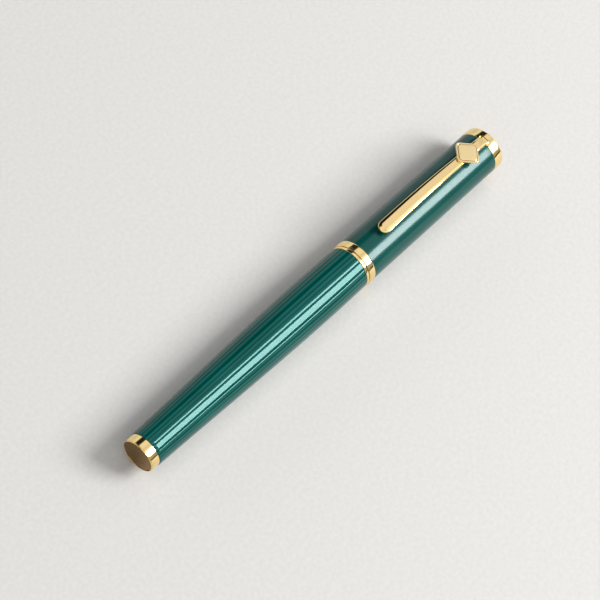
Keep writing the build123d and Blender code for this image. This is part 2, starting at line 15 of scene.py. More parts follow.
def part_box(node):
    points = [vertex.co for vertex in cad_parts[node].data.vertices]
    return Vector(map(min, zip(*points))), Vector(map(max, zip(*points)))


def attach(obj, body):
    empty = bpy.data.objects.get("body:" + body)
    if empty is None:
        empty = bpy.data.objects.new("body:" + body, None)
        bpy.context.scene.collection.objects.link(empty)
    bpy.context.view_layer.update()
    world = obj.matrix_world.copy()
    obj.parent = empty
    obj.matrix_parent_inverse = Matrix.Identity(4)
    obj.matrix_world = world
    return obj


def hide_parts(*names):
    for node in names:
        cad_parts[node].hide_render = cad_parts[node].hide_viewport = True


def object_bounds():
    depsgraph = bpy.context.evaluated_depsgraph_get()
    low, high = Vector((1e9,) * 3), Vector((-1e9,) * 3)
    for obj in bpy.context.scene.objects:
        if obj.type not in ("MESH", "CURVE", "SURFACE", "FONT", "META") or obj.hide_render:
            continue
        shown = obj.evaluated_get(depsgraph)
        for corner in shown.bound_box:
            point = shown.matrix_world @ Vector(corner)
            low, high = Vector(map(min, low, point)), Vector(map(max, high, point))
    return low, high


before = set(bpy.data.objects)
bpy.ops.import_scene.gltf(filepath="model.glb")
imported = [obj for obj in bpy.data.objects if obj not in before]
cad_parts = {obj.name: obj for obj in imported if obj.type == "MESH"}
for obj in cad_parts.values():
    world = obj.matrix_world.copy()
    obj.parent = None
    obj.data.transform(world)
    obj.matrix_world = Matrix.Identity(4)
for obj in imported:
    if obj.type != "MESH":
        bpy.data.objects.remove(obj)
cad_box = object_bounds()

MM = 0.001

# ---- where the CAD pieces are ------------------------------------------------------------------
AXIS_HEIGHT = sum(corner.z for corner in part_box("cap_lip_band")) / 2


def start(node):
    """Where a node starts along the pen, in millimetres."""
    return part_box(node)[0].x / MM


def end(node):
    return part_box(node)[1].x / MM


def radius(node):
    """A round node's outer radius, or half another node's width, in millimetres."""
    low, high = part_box(node)
    return (high.y - low.y) / 2 / MM


def radii_at(node, place, reach=0.02):
    """Smallest and largest radius of a node's own points near a place along the axis."""
    found = []
    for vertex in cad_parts[node].data.vertices:
        if abs(vertex.co.x / MM - place) < reach:
            found.append(sqrt(vertex.co.y**2 + (vertex.co.z - AXIS_HEIGHT) ** 2) / MM)
    return min(found), max(found)


# ---- camera ------------------------------------------------------------------------------------
LENS = 144.0
DISTANCE = 626.0
AIM_FROM_TAIL = 66.3  # the point on the axis that the view is measured from
AIM_RIGHT = 3.4  # how far right of the picture's middle that point lies
AXIS_TOWARDS_CAMERA = radians(28.3)  # how far the barrel's end leans to the camera
AXIS_IN_PICTURE = radians(41.63)  # the pen's slope in the picture
CLIP_ROLL = radians(13.3)  # the clip's turn from the view, about the pen's axis

ALONG = Vector((1, 0, 0))
FACING = Vector((0, -sin(CLIP_ROLL), cos(CLIP_ROLL)))


def link(thing):
    bpy.context.scene.collection.objects.link(thing)
    return thing


def add_camera():
    back = FACING * cos(AXIS_TOWARDS_CAMERA) - ALONG * sin(AXIS_TOWARDS_CAMERA)
    slope = (ALONG - back * ALONG.dot(back)).normalized()
    across = back.cross(slope)
    right = slope * cos(AXIS_IN_PICTURE) - across * sin(AXIS_IN_PICTURE)
    up = back.cross(right)
    aim = Vector((cad_box[0][0] + AIM_FROM_TAIL * MM, 0, AXIS_HEIGHT))
    data = bpy.data.cameras.new("camera")
    data.lens = LENS
    data.sensor_width = 36.0
    data.clip_start = 0.01
    camera = link(bpy.data.objects.new("camera", data))
    turn = Matrix((right, up, back)).transposed().to_4x4()
    place = aim + (back * DISTANCE - right * AIM_RIGHT) * MM
    camera.matrix_world = Matrix.Translation(place) @ turn
    bpy.context.scene.camera = camera


# ---- light and floor ---------------------------------------------------------------------------
LAMP_DISTANCE = 1.5  # metres, as is the floor's size
FLOOR_SIZE = 4.0
WORLD_LEVELS = [(-180, 0.50), (-104, 0.35), (-90, 0.35), (-87, 0.05), (-83, 0.05), (-80, 0.36),
                (-62, 0.50), (-51, 1.30), (-26, 1.30), (-10, 0.75), (4, 0.95), (26, 0.95),
                (31, 0.02), (57, 0.02), (62, 0.95), (90, 0.70), (180, 0.50)]
# Each world level has its angle round the pen first, in degrees from overhead.
FLOOR_COLOURS = (0.49, 0.48, 0.465), (0.53, 0.52, 0.505)


def reflected(lean):
    """Where the camera's ray goes from the pen's side, lean radians round from the view."""
    facing = Matrix.Rotation(lean * 2, 3, "X") @ FACING
    return facing * cos(AXIS_TOWARDS_CAMERA) + ALONG * sin(AXIS_TOWARDS_CAMERA)


def add_softbox(name, lean, wide, long, strength):
    """A softbox seen in the pen's side that is turned lean degrees from the view. Half of it spans
    wide degrees round the pen and long degrees along it."""
    towards = reflected(radians(lean))
    data = bpy.data.lights.new(name, "AREA")
    data.shape = "RECTANGLE"
    data.size = 2 * LAMP_DISTANCE * tan(radians(long))
    data.size_y = 2 * LAMP_DISTANCE * tan(radians(wide))
    data.energy = strength * pi * data.size * data.size_y
    lamp = link(bpy.data.objects.new(name, data))
    side = towards.cross(ALONG).normalized()
    first = side.cross(towards).normalized()
    turn = Matrix((first, side, first.cross(side))).transposed()
    if (turn @ Vector((0, 0, 1))).dot(towards) < 0:
        turn = Matrix((first, -side, first.cross(-side))).transposed()
    lamp.matrix_world = Matrix.Translation(towards * LAMP_DISTANCE) @ turn.to_4x4()


def add_world():
    """Soft light from all round, with a dark card on one side and a dark line at the horizon."""
    world = bpy.data.worlds.new("studio")
    bpy.context.scene.world = world
    world.use_nodes = True
    tree = world.node_tree
    direction = tree.nodes.new("ShaderNodeTexCoord")
    split = tree.nodes.new("ShaderNodeSeparateXYZ")
    turn = tree.nodes.new("ShaderNodeMath")
    turn.operation = "ARCTAN2"
    scaled = tree.nodes.new("ShaderNodeMapRange")
    scaled.inputs["From Min"].default_value = -pi
    scaled.inputs["From Max"].default_value = pi
    ramp = tree.nodes.new("ShaderNodeValToRGB")
    tree.links.new(direction.outputs["Generated"], split.inputs[0])
    tree.links.new(split.outputs["Y"], turn.inputs[0])
    tree.links.new(split.outputs["Z"], turn.inputs[1])
    tree.links.new(turn.outputs[0], scaled.inputs["Value"])
    tree.links.new(scaled.outputs["Result"], ramp.inputs["Fac"])
    tree.links.new(ramp.outputs["Color"], tree.nodes["Background"].inputs["Color"])
    elements = ramp.color_ramp.elements
    while len(elements) > 1:
        elements.remove(elements[0])
    for index, (degrees_round, level) in enumerate(WORLD_LEVELS):
        place = (degrees_round + 180) / 360
        element = elements[0] if index == 0 else elements.new(place)
        element.position = place
        element.color = (level, level, level, 1)


def add_floor():
    maker = bmesh.new()
    bmesh.ops.create_grid(maker, x_segments=1, y_segments=1, size=FLOOR_SIZE)
    data = bpy.data.meshes.new("floor")
    maker.to_mesh(data)
    maker.free()
    floor = link(bpy.data.objects.new("floor", data))
    paint, tree, shader = material("floor_paint")
    grain = noise(tree, 900.0, 3.0)
    colour = blend_colours(tree, grain, *FLOOR_COLOURS)
    tree.links.new(colour, shader.inputs["Base Color"])
    shader.inputs["Roughness"].default_value = 0.7
    data.materials.append(paint)


# ---- materials ---------------------------------------------------------------------------------
FLUTES = 32
FLUTE_START = radians(4.15)  # the turn from overhead at which one of the valleys lies
# painted shade: the barrel's green is darkened in the flutes' valleys
FLUTE_SHADE = (0.4, 0.45, 0.45)  # what the lacquer's colour is multiplied by in the valleys
FINE_RELIEF = 0.0000004  # metres, as are the other reliefs
SATIN_RELIEF = 0.000001
PLASTIC_RELIEF = 0.000002
TURNED_RELIEF = 0.000004
RUBBER_RELIEF = 0.000006


def material(name, **values):
    """A node material, its tree and its shader, with values set on the shader's sockets."""
    made = bpy.data.materials.new(name)
    made.use_nodes = True
    shader = made.node_tree.nodes["Principled BSDF"]
    for socket, value in values.items():
        shader.inputs[socket.replace("_", " ")].default_value = value
    return made, made.node_tree, shader


def noise(tree, scale, detail, stretch=(1, 1, 1)):
    """Procedural noise over the object's own coordinates, stretched along its axes."""
    where = tree.nodes.new("ShaderNodeTexCoord")
    sizing = tree.nodes.new("ShaderNodeMapping")
    sizing.inputs["Scale"].default_value = stretch
    made = tree.nodes.new("ShaderNodeTexNoise")
    made.inputs["Scale"].default_value = scale
    made.inputs["Detail"].default_value = detail
    tree.links.new(where.outputs["Object"], sizing.inputs["Vector"])
    tree.links.new(sizing.outputs["Vector"], made.inputs["Vector"])
    return made.outputs[0]


def ranged(tree, source, low, high, from_low=0.3, from_high=0.7):
    """A source's values spread between two numbers."""
    made = tree.nodes.new("ShaderNodeMapRange")
    made.inputs["From Min"].default_value = from_low
    made.inputs["From Max"].default_value = from_high
    made.inputs["To Min"].default_value = low
    made.inputs["To Max"].default_value = high
    tree.links.new(source, made.inputs["Value"])
    return made.outputs["Result"]


def blend_colours(tree, source, first, second):
    """Two colours blended by a source's middle values."""
    made = tree.nodes.new("ShaderNodeMix")
    made.data_type = "RGBA"
    made.inputs["A"].default_value = (*first, 1)
    made.inputs["B"].default_value = (*second, 1)
    tree.links.new(ranged(tree, source, 0, 1), made.inputs["Factor"])
    return made.outputs["Result"]


def bumped(tree, shader, source, depth):
    """Relief of a given depth in metres from a source."""
    made = tree.nodes.new("ShaderNodeBump")
    made.inputs["Distance"].default_value = depth
    tree.links.new(source, made.inputs["Height"])
    tree.links.new(made.outputs["Normal"], shader.inputs["Normal"])


def lacquer(name, deep, light, smooth, rough, sheen, fluted=False):
    """Glossy lacquer over a slightly uneven green ground, with a tinted sheen."""
    made, tree, shader = material(name, Specular_IOR_Level=0.38, Specular_Tint=(*sheen, 1))
    cloud = noise(tree, 260.0, 4.0, (0.35, 1, 1))
    ground = blend_colours(tree, cloud, deep, light)
    if fluted:
        # painted shade: the ground colour is multiplied down in the flutes' valleys
        shade = tree.nodes.new("ShaderNodeMix")
        shade.data_type = "RGBA"
        shade.blend_type = "MULTIPLY"
        shade.inputs["B"].default_value = (*FLUTE_SHADE, 1)
        tree.links.new(ranged(tree, flute_depths(tree), 0, 1, -1, 1), shade.inputs["Factor"])
        tree.links.new(ground, shade.inputs["A"])
        ground = shade.outputs["Result"]
    tree.links.new(ground, shader.inputs["Base Color"])
    haze = noise(tree, 700.0, 2.0)
    tree.links.new(ranged(tree, haze, smooth, rough), shader.inputs["Roughness"])
    bumped(tree, shader, haze, FINE_RELIEF)
    return made


def flute_depths(tree):
    """From -1 on the flutes' crests to 1 in their valleys, where painted shade darkens the lacquer.
    """
    where = tree.nodes.new("ShaderNodeTexCoord")
    split = tree.nodes.new("ShaderNodeSeparateXYZ")
    tree.links.new(where.outputs["Object"], split.inputs[0])
    height = calculated(tree, "SUBTRACT", split.outputs["Z"], AXIS_HEIGHT)
    turn = calculated(tree, "ARCTAN2", split.outputs["Y"], height)
    past_valley = calculated(tree, "SUBTRACT", turn, FLUTE_START)
    return calculated(tree, "COSINE", calculated(tree, "MULTIPLY", past_valley, FLUTES))


def calculated(tree, operation, *values):
    """A sum on sockets and plain numbers."""
    made = tree.nodes.new("ShaderNodeMath")
    made.operation = operation
    for socket, value in zip(made.inputs, values):
        if isinstance(value, (int, float)):
            socket.default_value = value
        else:
            tree.links.new(value, socket)
    return made.outputs[0]


def gold(name, colour, smooth, rough, grain=(1, 1, 1), grain_depth=0.0):
    """Gold plate, with fine wear in its polish and, if asked, a brushed grain."""
    made, tree, shader = material(name, Metallic=1.0)
    tone = noise(tree, 170.0, 3.0)
    darker = tuple(channel * 0.93 for channel in colour)
    tree.links.new(blend_colours(tree, tone, darker, colour), shader.inputs["Base Color"])
    wear = noise(tree, 1100.0, 5.0, grain)
    tree.links.new(ranged(tree, wear, smooth, rough), shader.inputs["Roughness"])
    if grain_depth:
        bumped(tree, shader, wear, grain_depth)
    return made


def turned_metal(name, colour, roughness):
    """Turned metal, with rings round the pen's axis left by the tool."""
    made, tree, shader = material(name, Metallic=1.0)
    rings = noise(tree, 5000.0, 2.0, (1, 0.02, 0.02))
    tree.links.new(ranged(tree, rings, roughness * 0.7, roughness * 1.3),
                   shader.inputs["Roughness"])
    darker = tuple(channel * 0.85 for channel in colour)
    tree.links.new(blend_colours(tree, rings, darker, colour), shader.inputs["Base Color"])
    bumped(tree, shader, rings, TURNED_RELIEF)
    return made


def plastic(name, colour, smooth, rough, relief=PLASTIC_RELIEF, **values):
    """Moulded or polished plastic, with a fine grain."""
    made, tree, shader = material(name, **values)
    grain = noise(tree, 1500.0, 3.0)
    lighter = tuple(channel * 1.25 + 0.002 for channel in colour)
    tree.links.new(blend_colours(tree, grain, colour, lighter), shader.inputs["Base Color"])
    tree.links.new(ranged(tree, grain, smooth, rough), shader.inputs["Roughness"])
    bumped(tree, shader, grain, relief)
    return made


def clear_plastic(name):
    made, tree, shader = material(name, Transmission_Weight=1.0, IOR=1.5)
    haze = noise(tree, 500.0, 3.0)
    tree.links.new(ranged(tree, haze, 0.02, 0.08), shader.inputs["Roughness"])
    tree.links.new(blend_colours(tree, haze, (0.93, 0.96, 0.96), (0.97, 0.98, 0.98)),
                   shader.inputs["Base Color"])
    return made


# The cap's green, and the barrel's, which is seen between valleys darkened with painted shade
GREEN_DEEP, GREEN_LIGHT = (0.0001, 0.044, 0.037), (0.0002, 0.058, 0.049)
CREST_DEEP, CREST_LIGHT = (0.0001, 0.068, 0.056), (0.0002, 0.086, 0.072)

PAINTS = {
    "barrel_lacquer": lacquer("barrel_lacquer", CREST_DEEP, CREST_LIGHT, 0.02, 0.032,
                              (0.55, 1.0, 0.97), fluted=True),
    "cap_lacquer": lacquer("cap_lacquer", GREEN_DEEP, GREEN_LIGHT, 0.17, 0.20,
                           (0.78, 1.0, 0.99)),
    "polished_gold": gold("polished_gold", (0.95, 0.72, 0.33), 0.06, 0.11),
    "satin_gold": gold("satin_gold", (0.93, 0.69, 0.34), 0.18, 0.27, (0.08, 1, 1), SATIN_RELIEF),
    "pale_gold": gold("pale_gold", (0.92, 0.72, 0.38), 0.20, 0.28, grain_depth=FINE_RELIEF),
    # painted reflection: the end disc's gold is darkened to stand in for a dark floor seen in it
    "gold_painted_dark_reflection": gold("gold_painted_dark_reflection", (0.24, 0.125, 0.022), 0.18, 0.30),
    "nib_gold": gold("nib_gold", (0.98, 0.76, 0.36), 0.06, 0.16),
    "turned_brass": turned_metal("turned_brass", (0.72, 0.50, 0.22), 0.3),
    "steel": turned_metal("steel", (0.62, 0.62, 0.60), 0.2),
    "black_resin": plastic("black_resin", (0.006, 0.007, 0.007), 0.10, 0.2, Coat_Weight=0.6),
    "black_plastic": plastic("black_plastic", (0.010, 0.010, 0.011), 0.38, 0.55),
    "rubber": plastic("rubber", (0.008, 0.008, 0.008), 0.6, 0.8, RUBBER_RELIEF),
    "clear": clear_plastic("clear"),
}


# ---- mesh helpers ------------------------------------------------------------------------------
AROUND = 160
SHARP_ANGLE = radians(38)


def finish_piece(name, maker, body, paint, nodes=()):
    """Turns a bmesh into a piece that rides on a body and stands for its CAD nodes."""
    bmesh.ops.recalc_face_normals(maker, faces=maker.faces)
    data = bpy.data.meshes.new(name)
    maker.to_mesh(data)
    maker.free()
    data.shade_smooth()
    data.set_sharp_from_angle(angle=SHARP_ANGLE)
    data.materials.append(PAINTS[paint])
    piece = link(bpy.data.objects.new(name, data))
    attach(piece, body)
    if nodes:
        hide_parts(*nodes)
    return piece


def rounded(corners, steps=6):
    """A closed outline with each corner rounded by its own amount."""
    outline = []
    count = len(corners)
    for index, corner in enumerate(corners):
        x, y, rounding = corner if len(corner) == 3 else (*corner, 0)
        here = Vector((x, y))
        if not rounding:
            outline.append((x, y))
            continue
        before = Vector(corners[index - 1][:2]) - here
        after = Vector(corners[(index + 1) % count][:2]) - here
        reach = min(rounding, before.length * 0.49, after.length * 0.49)
        first = here + before.normalized() * reach
        last = here + after.normalized() * reach
        for step in range(steps + 1):
            share = step / steps
            point = first * (1 - share) ** 2 + here * 2 * share * (1 - share) + last * share**2
            outline.append((point.x, point.y))
    return outline


def add_ring(maker, place, size, around, ripple=None):
    """One ring of points round the axis, or a single point on it."""
    if size < 1e-6:
        return [maker.verts.new((place * MM, 0, AXIS_HEIGHT))]
    ring = []
    for step in range(around):
        turn = tau * step / around
        reach = (size - ripple(turn, size)) * MM if ripple else size * MM
        ring.append(maker.verts.new((place * MM, sin(turn) * reach,
                                     AXIS_HEIGHT + cos(turn) * reach)))
    return ring


def join_rings(maker, first, second):
    if len(first) == 1 and len(second) == 1:
        return
    count = max(len(first), len(second))
    for step in range(count):
        after = (step + 1) % count
        if len(first) == 1:
            maker.faces.new((first[0], second[after], second[step]))
        elif len(second) == 1:
            maker.faces.new((first[step], first[after], second[0]))
        else:
            maker.faces.new((first[step], first[after], second[after], second[step]))


def lathe(maker, outline, around=AROUND, ripple=None):
    """A solid of revolution from a closed outline; ripple lowers its outer points."""
    rings = [add_ring(maker, point[0], point[1], around, ripple if len(point) > 2 else None)
             for point in outline]
    for index, ring in enumerate(rings):
        join_rings(maker, rings[index - 1], ring)


def turned(name, body, paint, corners, nodes=(), around=AROUND):
    """A turned piece from the corners of its outline."""
    maker = bmesh.new()
    lathe(maker, rounded(corners), around)
    return finish_piece(name, maker, body, paint, nodes)


# ---- barrel ------------------------------------------------------------------------------------
FLUTE_TILT = 0.15  # steepest slope of a flute's side
FLUTE_POINTS = 14  # round each flute
BARREL_STATIONS = 70
BARREL_SWELL = [(0.0, 0.0), (27.3, 0.70), (63.3, 1.40)]  # place from the tail and growth
TAIL_ROUND = 0.25
TAIL_ROUND_STEPS = 6
FRONT_CHAMFER = 0.12
STATION_MARGIN = 0.325  # left out of the evenly spaced stations, at both ends together
TAIL_BORE_LENGTH = 5.3  # of the narrower bore at the tail


def smooth_curve(knots, place):
    """A cubic through knots at one place, by Lagrange's formula."""
    total = 0.0
    for index, (x, y) in enumerate(knots):
        term = y
        for other, (u, _) in enumerate(knots):
            if other != index:
                term *= (place - u) / (x - u)
        total += term
    return total


def flute(turn, size):
    """How deep the surface lies at an angle round the axis, with the same slopes all along."""
    return size * FLUTE_TILT / FLUTES * (1 + cos(FLUTES * (turn - FLUTE_START)))


def barrel():
    """The tube, swelling from the tail to the cap, with flutes cut along it."""
    tail, front = start("barrel_body"), end("barrel_body")
    bore, tail_radius = radii_at("barrel_body", tail)
    mouth_bore, front_radius = radii_at("barrel_body", front)
    insert = start("barrel_thread_insert")
    knots = [(tail + place, tail_radius + growth) for place, growth in BARREL_SWELL]
    knots.append((front, front_radius))
    outline = [(tail, tail_radius - TAIL_ROUND)]
    for step in range(TAIL_ROUND_STEPS + 1):
        turn = pi / 2 * step / TAIL_ROUND_STEPS
        outline.append((tail + TAIL_ROUND * (1 - cos(turn)),
                        tail_radius - TAIL_ROUND * (1 - sin(turn)), "fluted"))
    for step in range(1, BARREL_STATIONS):
        share = step / BARREL_STATIONS
        place = tail + TAIL_ROUND + (front - tail - STATION_MARGIN) * share
        outline.append((place, smooth_curve(knots, place), "fluted"))
    outline.append((front - FRONT_CHAMFER, front_radius, "fluted"))
    outline.append((front, front_radius - FRONT_CHAMFER, "fluted"))
    outline += [(front, mouth_bore), (insert, mouth_bore), (tail + TAIL_BORE_LENGTH, bore),
                (tail, bore)]
    maker = bmesh.new()
    lathe(maker, outline, FLUTES * FLUTE_POINTS, flute)
    finish_piece("barrel", maker, "barrel", "barrel_lacquer", ["barrel_body"])


END_RING_FLOOR = 1.0  # from the end ring's face
END_DISC_THICKNESS = 0.9
DISC_GAP = 0.02  # between an end disc and its ring
STUD_RADIUS = 1.5  # behind either end disc


def barrel_rings():
    a, b, r = start("barrel_front_ring"), end("barrel_front_ring"), radius("barrel_front_ring")
    inner = radii_at("barrel_front_ring", a)[0]
    turned("front_ring", "barrel", "polished_gold",
           [(a, inner), (a, r, 0.28), (b, r, 0.28), (b, inner)],
           ["barrel_front_ring"])
    a, b, r = start("barrel_end_ring"), end("barrel_end_ring"), radius("barrel_end_ring")
    lip = radius("barrel_end_disc") + DISC_GAP
    floor = a + END_RING_FLOOR
    bore = radii_at("barrel_end_ring", b)[0]
    turned("end_ring", "barrel", "polished_gold",
           [(a + 0.03, lip), (a, lip + 0.06, 0.04), (a, r - 0.30, 0.06), (a + 0.12, r - 0.15, 0.05),
            (a + 0.19, r - 0.16, 0.02), (a + 0.22, r - 0.22, 0.02), (a + 0.27, r - 0.20, 0.02),
            (a + 0.32, r, 0.06), (b, r, 0.08), (b, bore), (floor, bore), (floor, lip)],
           ["barrel_end_ring"])
    a, b, r = start("barrel_end_disc"), end("barrel_end_disc"), radius("barrel_end_disc")
    back = a + END_DISC_THICKNESS
    # painted reflection: the end disc's darkened gold stands in for a dark floor reflected in it
    turned("end_disc", "barrel", "gold_painted_dark_reflection",
           [(a + 0.05, 0), (a + 0.03, r * 0.5, 0.6), (a, r - 0.25, 0.1), (a + 0.08, r, 0.06),
            (back, r), (back, STUD_RADIUS), (b, STUD_RADIUS), (b, 0)],
           ["barrel_end_disc"])


# ---- cap ---------------------------------------------------------------------------------------
CAP_AROUND = 224
CAP_STATIONS = 24
FINIAL_DOME = 0.35  # height of the end disc's dome
FINIAL_DEPTH = 1.28  # from the dome's top to the disc's back
DOME_STEPS = 14
TOP_RING_AROUND = 360
NOTCH_GAP = 0.13  # beside the clip's root
NOTCH_DEPTH = 0.5
NOTCH_LENGTH = 1.3


def cap():
    """The smooth tube, tapering from the band to the top ring."""
    a, b = start("cap_body"), end("cap_body")
    bore, top = radii_at("cap_body", b)
    band_end = end("cap_lip_band")
    full = radius("cap_body")
    seat = radii_at("cap_body", a)[1]
    corners = [(a, bore), (a, seat), (band_end, seat), (band_end, full - 0.06, 0.1)]
    for step in range(1, CAP_STATIONS):
        share = step / CAP_STATIONS
        corners.append((band_end + (b - band_end) * share, full + (top - full) * share))
    corners += [(b, top, 0.1), (b, bore)]
    turned("cap_tube", "cap", "cap_lacquer", corners, ["cap_body"],
           CAP_AROUND)


def cap_rings():
    a, b, r = start("cap_lip_band"), end("cap_lip_band"), radius("cap_lip_band")
    inner = radii_at("cap_lip_band", a)[0]
    seat = radii_at("cap_lip_band", b)[0]
    groove = a + 0.55
    turned("lip_band", "cap", "polished_gold",
           [(a, inner), (a, r - 0.12, 0.25), (a + 0.18, r - 0.02, 0.2), (groove - 0.08, r, 0.06),
            (groove, r - 0.07, 0.05), (groove + 0.08, r, 0.06), (b - 0.3, r, 0.3),
            (b, r - 0.1, 0.2), (b, seat), (a + 0.42, seat), (a + 0.42, inner)],
           ["cap_lip_band"], CAP_AROUND)
    top_ring()
    a, b, r = start("cap_finial"), end("cap_finial"), radius("cap_finial")
    back = b - FINIAL_DEPTH
    corners = [(a, 0), (a, STUD_RADIUS), (back, STUD_RADIUS), (back, r),
               (b - FINIAL_DOME - 0.06, r, 0.05)]
    for step in range(1, DOME_STEPS):
        share = cos(pi / 2 * step / DOME_STEPS)
        corners.append((b - FINIAL_DOME * share**2, r * share))
    corners.append((b, 0))
    turned("finial", "cap", "polished_gold", corners, ["cap_finial"])


def top_ring():
    """The ring over the cap's end, with a notch for the clip's root."""
    a, b, r = start("cap_top_ring"), end("cap_top_ring"), radius("cap_top_ring")
    wall = radius("cap_finial") + DISC_GAP
    half_notch = asin((CLIP_HALF_WIDTHS[1] + NOTCH_GAP) / r)

    def notched(turn, size):
        off = min(turn, tau - turn)
        return max(size - r + NOTCH_DEPTH, 0) if off < half_notch else 0.0

    outline = [(a, wall)]
    outline += [(x, y, "notched") for x, y in
                [(a, r - NOTCH_DEPTH), (a, r - 0.08), (a + 0.04, r - 0.02), (a + 0.12, r),
                 (a + NOTCH_LENGTH, r)]]
    outline += rounded([(a + NOTCH_LENGTH + 0.02, r), (b - 0.3, r - 0.02, 0.5),
                        (b, r - 0.42, 0.3), (b, wall, 0.08)])
    maker = bmesh.new()
    lathe(maker, outline, TOP_RING_AROUND, notched)
    finish_piece("top_ring", maker, "cap", "polished_gold", ["cap_top_ring"])


# ---- clip --------------------------------------------------------------------------------------
CLIP_HALF_WIDTHS = (1.90, 1.45)  # at the free end and from the lozenge on
CLIP_FLAT = 0.92  # half the width of the flat along the top
CLIP_THICKNESS = 0.95
CLIP_STATIONS = 44
CLIP_ARC_STEPS = 28  # round the free end
CLIP_EDGE_STEPS = 3
CLIP_BEVEL = radians(18)  # slope of the bevels beside the flat
CLIP_RIM = radians(37)  # slope of the narrow rim outside them
CLIP_RIM_WIDTH = 0.15
CLIP_EDGE = 0.06  # rounding from rim to side
CLIP_UNDER_EDGE = 0.12
CLIP_CREASE = 0.02  # how far each crease is softened
CLIP_RISES = [(0.0, 2.05), (18.0, 2.75), (33.0, 1.62)]  # place from the free end, top over the cap
ROOT_PROUD = 0.05  # of the clip's root over the top ring, in the ring's notch
ROOT_THICKNESS = 0.42
ROOT_START = 0.05  # past the end of the cap's tube
ROOT_SETBACK = 0.10  # of the root's end from the end of the CAD clip
NECK_PROUD = 0.75  # of the clip's neck over the top ring, just before it
NECK_CLEARANCE = 0.06  # over the cap's side, where the neck meets the ring
NECK_BEND = 0.6  # how far before the top the underside bends down
NECK_FLAT = 0.3  # length of its level end, before the ring
PAD_RADIUS = 0.95
PAD_PLACE = 2.6
PAD_RISE = 0.19  # of the pad's lowest point over the cap's radius at the top ring


class ClipLines:
    """The clip's top and underside seen from the side, and its half width, at a place along it."""

    def __init__(self):
        self.tip = start("clip_arm")
        self.arc = self.tip + CLIP_HALF_WIDTHS[0]  # where the free end's rounding starts
        self.neck = start("clip_lozenge")
        self.lozenge = (self.neck + end("clip_lozenge")) / 2
        self.tube_end = end("cap_body")
        self.cap_top = radii_at("cap_body", self.tube_end)[1]
        self.top_rises = [(self.tip + place, self.cap_top + rise) for place, rise in CLIP_RISES]
        self.seat_start, self.seat = self.top_rises[-1]
        self.seat_end = 2 * self.lozenge - self.seat_start
        self.bend = self.seat_end - NECK_BEND
        self.root = radius("cap_top_ring") + ROOT_PROUD
        self.root_start = self.tube_end + ROOT_START
        self.root_end = end("clip_arm") - ROOT_SETBACK

    def top(self, place):
        if place < self.seat_start:
            return smooth_curve(self.top_rises, place)
        if place < self.seat_end:
            return self.seat
        if place > self.root_start:
            return self.root
        share = (place - self.seat_end) / (self.tube_end - self.seat_end)
        return self.seat + (self.root - ROOT_PROUD + NECK_PROUD - self.seat) * share

    def under(self, place):
        if place < self.bend:
            return self.top(place) - CLIP_THICKNESS
        if place > self.root_start:
            return self.root - ROOT_THICKNESS
        low = self.cap_top + NECK_CLEARANCE
        share = min((place - self.bend) / (self.tube_end - NECK_FLAT - self.bend), 1)
        return self.seat - CLIP_THICKNESS + (low - self.seat + CLIP_THICKNESS) * share

    def half_width(self, place):
        share = min(max((place - self.arc) / (self.neck - self.arc), 0), 1)
        return CLIP_HALF_WIDTHS[0] + (CLIP_HALF_WIDTHS[1] - CLIP_HALF_WIDTHS[0]) * share

    def stations(self):
        """Places from the root's end to where the free end's rounding starts. Close ones keep the
        bends sharp."""
        found = [self.root_end, self.root_end - 0.4, self.root_start + 0.06]
        found += [self.tube_end - before for before in (0.04, 0.08, NECK_FLAT)]
        found += [(self.tube_end + self.seat_end) / 2, self.seat_end, self.bend]
        return found + [self.seat_start + (self.arc - self.seat_start) * step / CLIP_STATIONS
                        for step in range(CLIP_STATIONS + 1)]


def clip_rows():
    """The clip's rows of points from the flat down to the underside. Each is a side, top or under,
    and a function from the half width to its reach from the middle line and its drop."""
    def bevel_drop(reach):
        return tan(CLIP_BEVEL) * (reach - CLIP_FLAT)

    def rim_drop(wide, reach):
        inner = wide - CLIP_RIM_WIDTH
        return bevel_drop(inner) + tan(CLIP_RIM) * (reach - inner)

    near, far = CLIP_CREASE, 3 * CLIP_CREASE
    rows = [("top", lambda wide, off=off: (CLIP_FLAT - off, 0.0)) for off in (far, near)]
    rows += [("top", lambda wide, off=off: (CLIP_FLAT + off, bevel_drop(CLIP_FLAT + off)))
             for off in (near, far)]
    rows += [("top", lambda wide, off=off: (wide - CLIP_RIM_WIDTH - off,
                                            bevel_drop(wide - CLIP_RIM_WIDTH - off)))
             for off in (far, near)]
    rows.append(("top", lambda wide: (wide - CLIP_RIM_WIDTH + near,
                                      rim_drop(wide, wide - CLIP_RIM_WIDTH + near))))
    rim_end = CLIP_EDGE * (1 - sin(CLIP_RIM))
    for step in range(CLIP_EDGE_STEPS + 1):
        lean = CLIP_RIM + (pi / 2 - CLIP_RIM) * step / CLIP_EDGE_STEPS
        out = CLIP_EDGE * (1 - sin(lean))
        down = CLIP_EDGE * (cos(CLIP_RIM) - cos(lean))
        rows.append(("top", lambda wide, out=out, down=down:
                     (wide - out, rim_drop(wide, wide - rim_end) + down)))
    for step in range(CLIP_EDGE_STEPS + 1):
        lean = pi / 2 * step / CLIP_EDGE_STEPS
        rows.append(("under", lambda wide, lean=lean: (wide - CLIP_UNDER_EDGE * (1 - cos(lean)),
                                                       -CLIP_UNDER_EDGE * (1 - sin(lean)))))
    return rows


def clip_row(maker, lines, row):
    """One row of points along one side, round the free end and back along the other side."""
    side, section = row
    points = []
    for place in lines.stations():
        reach, drop = section(lines.half_width(place))
        points.append((place, reach, drop))
    reach, drop = section(CLIP_HALF_WIDTHS[0])
    turns = [pi * step / CLIP_ARC_STEPS for step in range(1, CLIP_ARC_STEPS)]
    arc = [(lines.arc - reach * sin(turn), reach * cos(turn), drop) for turn in turns]
    back = [(place, -across, down) for place, across, down in reversed(points)]
    made = []
    for place, across, down in points + arc + back:
        level = lines.top(place) if side == "top" else lines.under(place)
        made.append(maker.verts.new((place * MM, across * MM, AXIS_HEIGHT + (level - down) * MM)))
    return made


